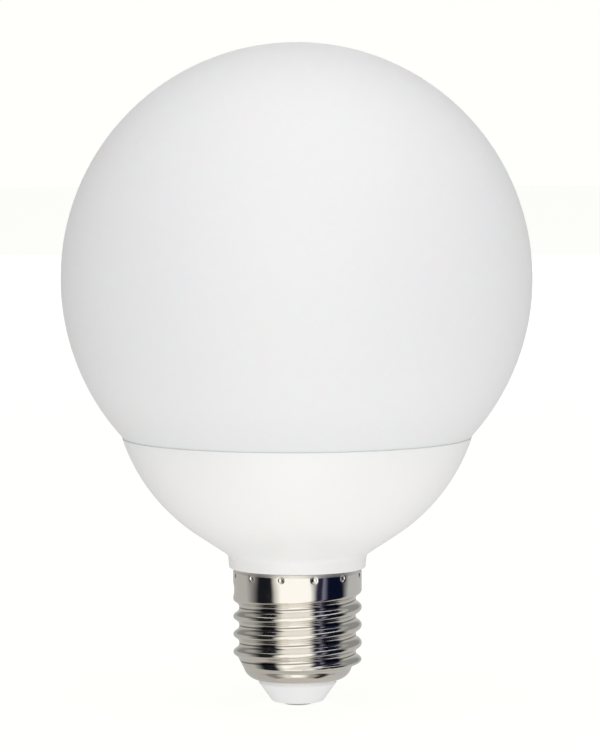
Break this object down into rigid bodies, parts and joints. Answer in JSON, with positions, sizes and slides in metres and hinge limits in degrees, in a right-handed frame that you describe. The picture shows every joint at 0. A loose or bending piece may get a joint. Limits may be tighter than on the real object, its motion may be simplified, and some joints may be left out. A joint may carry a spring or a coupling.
{
  "type": "globe light bulb",
  "caption": "Opal globe light bulb on a white bowl-shaped housing, with a rolled screw shell, an insulator cone and a centre contact that screw into a lamp holder.",
  "frame": {"origin": "on the bulb's axis at the end face of the centre contact, where the base bottoms in its holder", "axes": "+Z along the bulb's axis from the contact towards the globe's crown, -Y towards the viewer of the picture, +X to that viewer's right"},
  "size_m": [0.095, 0.095, 0.1339],
  "materials": {
    "opal_globe": "satin opal white, slightly translucent",
    "white_housing": "moulded white, soft sheen",
    "plated_shell": "bright nickel plate on rolled sheet",
    "white_insulator": "moulded off-white",
    "contact_metal": "satin nickel plate"
  },
  "bodies": {
    "root": {"globe": "opal_globe", "base_housing": "white_housing", "screw_shell": "plated_shell", "insulator": "white_insulator", "centre_contact": "contact_metal"}
  },
  "joints": []
}
